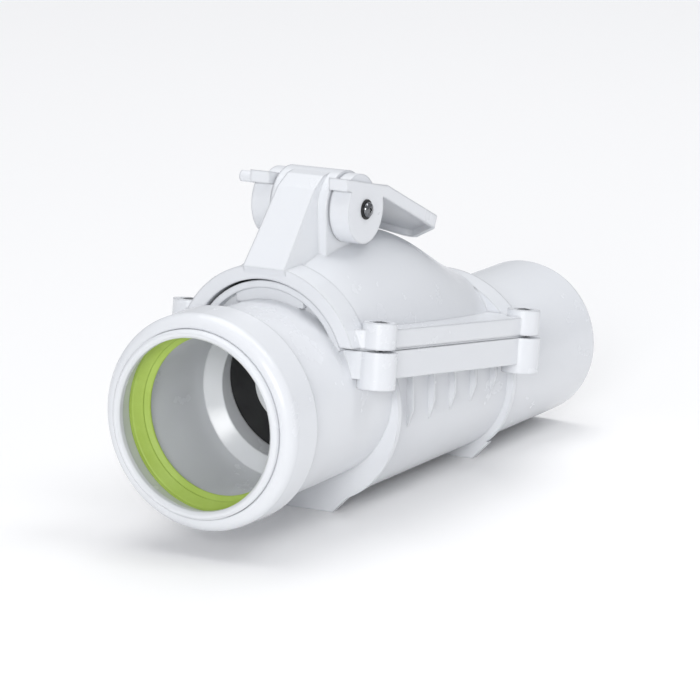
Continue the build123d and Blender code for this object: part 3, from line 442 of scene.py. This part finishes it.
def smooth_curve(points, per_span):
    """Points along a smooth curve through the given ones, as a closed loop."""
    out = []
    count = len(points)
    for i in range(count):
        p0, p1, p2, p3 = (Vector(points[(i + k - 1) % count]) for k in range(4))
        for step in range(per_span):
            t = step / per_span
            out.append(
                0.5 * ((2 * p1) + (p2 - p0) * t + (2 * p0 - 5 * p1 + 4 * p2 - p3) * t * t
                       + (3 * p1 - p0 - 3 * p2 + p3) * t ** 3)
            )
    return [(p.x, p.y) for p in out]


def to_mesh(shape, name, smooth=True):
    """The mesh of a bmesh, shaded smooth or flat."""
    mesh = bpy.data.meshes.new(name)
    shape.to_mesh(mesh)
    shape.free()
    for polygon in mesh.polygons:
        polygon.use_smooth = smooth
    return mesh


# Section of the lip seal from the mouth inwards, in millimetres: along the bore and radius
SEAL_SECTION = [
    (18.2, 63.6), (17.9, 61.6), (18.0, 60.2), (18.9, 59.6), (19.8, 59.3), (20.4, 58.6),
    (22.0, 57.4), (24.0, 55.9), (25.6, 54.6), (26.2, 54.5), (26.7, 54.6), (27.3, 53.9),
    (28.2, 52.7), (29.0, 51.7), (29.9, 51.4), (30.6, 51.9), (30.7, 53.4), (30.6, 56.0),
    (30.6, 60.0), (30.2, 63.7), (27.0, 64.3), (22.0, 64.3), (19.0, 64.2),
]
SEAL_POINTS_PER_SPAN = 4
SEAL_STEPS = 160
seal_profile = smooth_curve([(x * MM, r * MM) for x, r in SEAL_SECTION], SEAL_POINTS_PER_SPAN)
seal_shape = turned(seal_profile, SEAL_STEPS, Vector((0, 0, 0)), (1, 0, 0))
piece("lip_seal", to_mesh(seal_shape, "lip_seal"), "seal_rubber", "shell", ["socket_seal"])

SCREW_STEPS = 48
RECESS_TAPER = 0.55
SHARP_ANGLE = math.radians(35)


def screw_mesh(name, places, head_radius, head_height, shank_radius, shank_length):
    """Domed screws with a cross recess.

    Each place is the centre of the face under a head, and the way that the head points.
    """
    whole = bmesh.new()
    for place, outward in places:
        outward = Vector(outward).normalized()
        dome = [
            (0.0, head_radius),
            (head_height * 0.30, head_radius),
            (head_height * 0.55, head_radius * 0.95),
            (head_height * 0.78, head_radius * 0.80),
            (head_height * 0.93, head_radius * 0.55),
            (head_height * 1.00, head_radius * 0.25),
            (head_height * 1.01, 0.0),
        ]
        body = [(-shank_length, 0.0), (-shank_length, shank_radius * 0.8)]
        body += [(-shank_length + shank_radius * 0.4, shank_radius), (0.0, shank_radius)]
        shape = turned(body + dome, SCREW_STEPS, Vector(place), outward, closed=False)
        mesh = to_mesh(shape, name + "_blank")
        blank = bpy.data.objects.new(name + "_blank", mesh)
        bpy.context.scene.collection.objects.link(blank)
        side = outward.orthogonal().normalized()
        cutter_shape = bmesh.new()
        turn_to = Matrix((side, outward.cross(side), outward)).transposed().to_4x4()
        for quarter in range(2):
            made = bmesh.ops.create_cube(cutter_shape, size=1.0)["verts"]
            wide, thin = head_radius * 1.05, head_radius * 0.24
            deep = head_height * 0.9
            size = (wide, thin, deep) if quarter == 0 else (thin, wide, deep)
            bmesh.ops.scale(cutter_shape, vec=size, verts=made)
            for vert in made:
                if vert.co.z < 0:
                    vert.co.x *= RECESS_TAPER
                    vert.co.y *= RECESS_TAPER
            bmesh.ops.translate(cutter_shape, vec=(0, 0, head_height * 0.92), verts=made)
        placed = Matrix.Translation(place) @ turn_to
        bmesh.ops.transform(cutter_shape, matrix=placed, verts=cutter_shape.verts)
        cutter_mesh = to_mesh(cutter_shape, name + "_cutter", False)
        cutter = bpy.data.objects.new(name + "_cutter", cutter_mesh)
        bpy.context.scene.collection.objects.link(cutter)
        cut = blank.modifiers.new("recess", "BOOLEAN")
        cut.operation = "DIFFERENCE"
        cut.solver = "EXACT"
        cut.use_self = True
        cut.object = cutter
        bpy.context.view_layer.update()
        cut_mesh = bpy.data.meshes.new_from_object(
            blank.evaluated_get(bpy.context.evaluated_depsgraph_get())
        )
        whole.from_mesh(cut_mesh)
        bpy.data.objects.remove(blank)
        bpy.data.objects.remove(cutter)
        bpy.data.meshes.remove(cut_mesh)
    mesh = to_mesh(whole, name)
    mesh.set_sharp_from_angle(angle=SHARP_ANGLE)
    return mesh


# Slope of the cover's face, and the four boss places on it
JOINT_TILT = math.radians(8.07)
JOINT_HEIGHT = 0.0497
cover_up = Vector((math.sin(JOINT_TILT), 0, math.cos(JOINT_TILT)))
GASKET_THICKNESS, BOSS_HEIGHT, COUNTERBORE_DEPTH = 1.6, 17.0, 3.0
UNDER_HEAD = (GASKET_THICKNESS + BOSS_HEIGHT - COUNTERBORE_DEPTH) * MM
FRONT_BOSS_X, REAR_BOSS_X, BOSS_Y = 0.1055, 0.299, 0.0713
boss_places = []
for boss_x in (FRONT_BOSS_X, REAR_BOSS_X):
    for boss_y in (-BOSS_Y, BOSS_Y):
        foot = Vector((boss_x, boss_y, JOINT_HEIGHT - boss_x * math.tan(JOINT_TILT)))
        boss_places.append((foot + cover_up * UNDER_HEAD, cover_up))
# Head radius, head height, shank radius and shank length
COVER_SCREW = (6.0 * MM, 3.6 * MM, 3.0 * MM, 38 * MM)
LEVER_SCREW = (5.0 * MM, 3.0 * MM, 2.5 * MM, 16.5 * MM)
cover_screw_mesh = screw_mesh("cover_screw_set", boss_places, *COVER_SCREW)
piece("cover_screw_set", cover_screw_mesh, "screw_steel", "shell", ["cover_screws"])


def rounded_frame(half_length, half_width, corner, steps=8):
    """Points round a rectangle with rounded corners, in its own plane."""
    points = []
    for quarter, (sx, sy) in enumerate(((1, 1), (-1, 1), (-1, -1), (1, -1))):
        for step in range(steps + 1):
            turn = math.pi / 2 * (quarter + step / steps)
            points.append((
                sx * (half_length - corner) + corner * math.cos(turn),
                sy * (half_width - corner) + corner * math.sin(turn),
            ))
    return points


def lip_mesh(name, outer, inner, low, high, to_place):
    """A flat ring between two outlines, from one height to another."""
    shape = bmesh.new()
    rows = []
    for outline, height in ((outer, low), (outer, high), (inner, high), (inner, low)):
        rows.append([shape.verts.new(to_place(x, y, height)) for x, y in outline])
    count = len(outer)
    for row, following in zip(rows, rows[1:] + rows[:1]):
        for k in range(count):
            nxt = (k + 1) % count
            shape.faces.new((row[k], row[nxt], following[nxt], following[k]))
    bmesh.ops.recalc_face_normals(shape, faces=shape.faces)
    return to_mesh(shape, name, False)


# White lip of the cover that closes the joint in front of the gasket
FLANGE_FRONT_X, FLANGE_REAR_X, FLANGE_HALF_WIDTH = 93.0 * MM, 318.0 * MM, 75.0 * MM
FLANGE_CORNER = 16.0 * MM
along_cover = Vector((math.cos(JOINT_TILT), 0, -math.sin(JOINT_TILT)))
front_foot = Vector((FRONT_BOSS_X, 0, JOINT_HEIGHT - FRONT_BOSS_X * math.tan(JOINT_TILT)))
flange_near = (FLANGE_FRONT_X - FRONT_BOSS_X) / math.cos(JOINT_TILT)
flange_far = (FLANGE_REAR_X - FRONT_BOSS_X) / math.cos(JOINT_TILT)


def on_joint(x, y, height):
    """Place of a point on the joint face, given from the flange's middle."""
    middle = (flange_near + flange_far) / 2
    return front_foot + along_cover * (x + middle) + Vector((0, y, 0)) + cover_up * height


# How far the lip's two outlines lie inside the flange's, at its ends and at its sides
LIP_OUTER_END, LIP_OUTER_SIDE = 2.2 * MM, 0.8 * MM
LIP_INNER_END, LIP_INNER_SIDE = 3.8 * MM, 3.6 * MM
LIP_LOW, LIP_HIGH = 0.15 * MM, 1.45 * MM
half_flange = (flange_far - flange_near) / 2
lip_outer = rounded_frame(
    half_flange - LIP_OUTER_END, FLANGE_HALF_WIDTH - LIP_OUTER_SIDE, FLANGE_CORNER - LIP_OUTER_SIDE
)
lip_inner = rounded_frame(
    half_flange - LIP_INNER_END, FLANGE_HALF_WIDTH - LIP_INNER_SIDE, FLANGE_CORNER - LIP_INNER_SIDE
)
cover_lip_mesh = lip_mesh("cover_lip", lip_outer, lip_inner, LIP_LOW, LIP_HIGH, on_joint)
piece("cover_lip", cover_lip_mesh, "cover_plastic", "shell")

# Lever screws, at both ends of the shaft
SHAFT_X, SHAFT_Z = 0.150, 0.1155
WASHER_FACE = 37.3 * MM
lever_places = [((SHAFT_X, side * WASHER_FACE, SHAFT_Z), (0, side, 0)) for side in (-1, 1)]
lever_screw_mesh = screw_mesh("lever_screw_set", lever_places, *LEVER_SCREW)
piece("lever_screw_set", lever_screw_mesh, "screw_steel", "lock_lever", ["lever_screws"])


# Floor, light and camera
FLOOR_HALF_SIZE = 9.0
FLOOR_COLOUR = (0.96, 0.955, 0.95, 1)
FLOOR_ROUGHNESS = 0.55
FLOOR_SPECULAR = 0.25
VALVE_MIDDLE = (0.2, 0.0, 0.0)
SKY_COLOUR = (0.93, 0.95, 1.0, 1)
SKY_STRENGTH = 0.46
# Name, place, target, size in metres, power in watts and colour of each light
LIGHTS = (
    ("overhead", (0.9, 0.9, 9.0), VALVE_MIDDLE, 7.0, 345.0, (1, 1, 1)),
    ("near_side", (0.9, -3.2, 5.4), VALVE_MIDDLE, 2.2, 70.0, (0.98, 0.99, 1.0)),
    ("front", (-4.6, -2.1, 1.6), VALVE_MIDDLE, 1.8, 140.0, (1, 1, 1)),
    ("background", (2.6, 1.6, 4.0), (2.3, 1.4, 0.0), 2.5, 14.0, (1, 1, 1)),
)


def stage_floor():
    """A wide pale floor that fills the frame behind the valve."""
    shape = bmesh.new()
    bmesh.ops.create_grid(shape, x_segments=2, y_segments=2, size=FLOOR_HALF_SIZE)
    obj = bpy.data.objects.new("floor", to_mesh(shape, "floor"))
    obj.location = (0.2, 0.0, FLOOR_Z)
    bpy.context.scene.collection.objects.link(obj)
    material = bpy.data.materials.new("pale_floor")
    material.use_nodes = True
    shader = material.node_tree.nodes["Principled BSDF"]
    shader.inputs["Base Color"].default_value = FLOOR_COLOUR
    shader.inputs["Roughness"].default_value = FLOOR_ROUGHNESS
    shader.inputs["Specular IOR Level"].default_value = FLOOR_SPECULAR
    obj.data.materials.append(material)


def soft_light(name, place, target, size, power, colour):
    """A square soft box aimed at a point."""
    lamp = bpy.data.lights.new(name, "AREA")
    lamp.shape = "SQUARE"
    lamp.size = size
    lamp.energy = power
    lamp.color = colour
    obj = bpy.data.objects.new(name, lamp)
    obj.location = place
    aim = Vector(target) - Vector(place)
    obj.rotation_euler = aim.to_track_quat("-Z", "Y").to_euler()
    bpy.context.scene.collection.objects.link(obj)


stage_floor()
for light in LIGHTS:
    soft_light(*light)

world = bpy.data.worlds.new("studio")
bpy.context.scene.world = world
world.use_nodes = True
sky = world.node_tree.nodes["Background"]
sky.inputs["Color"].default_value = SKY_COLOUR
sky.inputs["Strength"].default_value = SKY_STRENGTH

lens = bpy.data.cameras.new("photo_view")
lens.sensor_width = CAMERA_SENSOR
lens.lens = CAMERA_LENS
lens.clip_end = 50.0
camera = bpy.data.objects.new("photo_view", lens)
back = Vector((
    math.sin(CAMERA_AZIMUTH) * math.cos(CAMERA_ELEVATION),
    -math.cos(CAMERA_AZIMUTH) * math.cos(CAMERA_ELEVATION),
    math.sin(CAMERA_ELEVATION),
))
camera.location = CAMERA_TARGET + back * CAMERA_DISTANCE
camera.rotation_euler = (-back).to_track_quat("-Z", "Y").to_euler()
bpy.context.scene.collection.objects.link(camera)
bpy.context.scene.camera = camera

bpy.context.scene.view_settings.view_transform = "Standard"
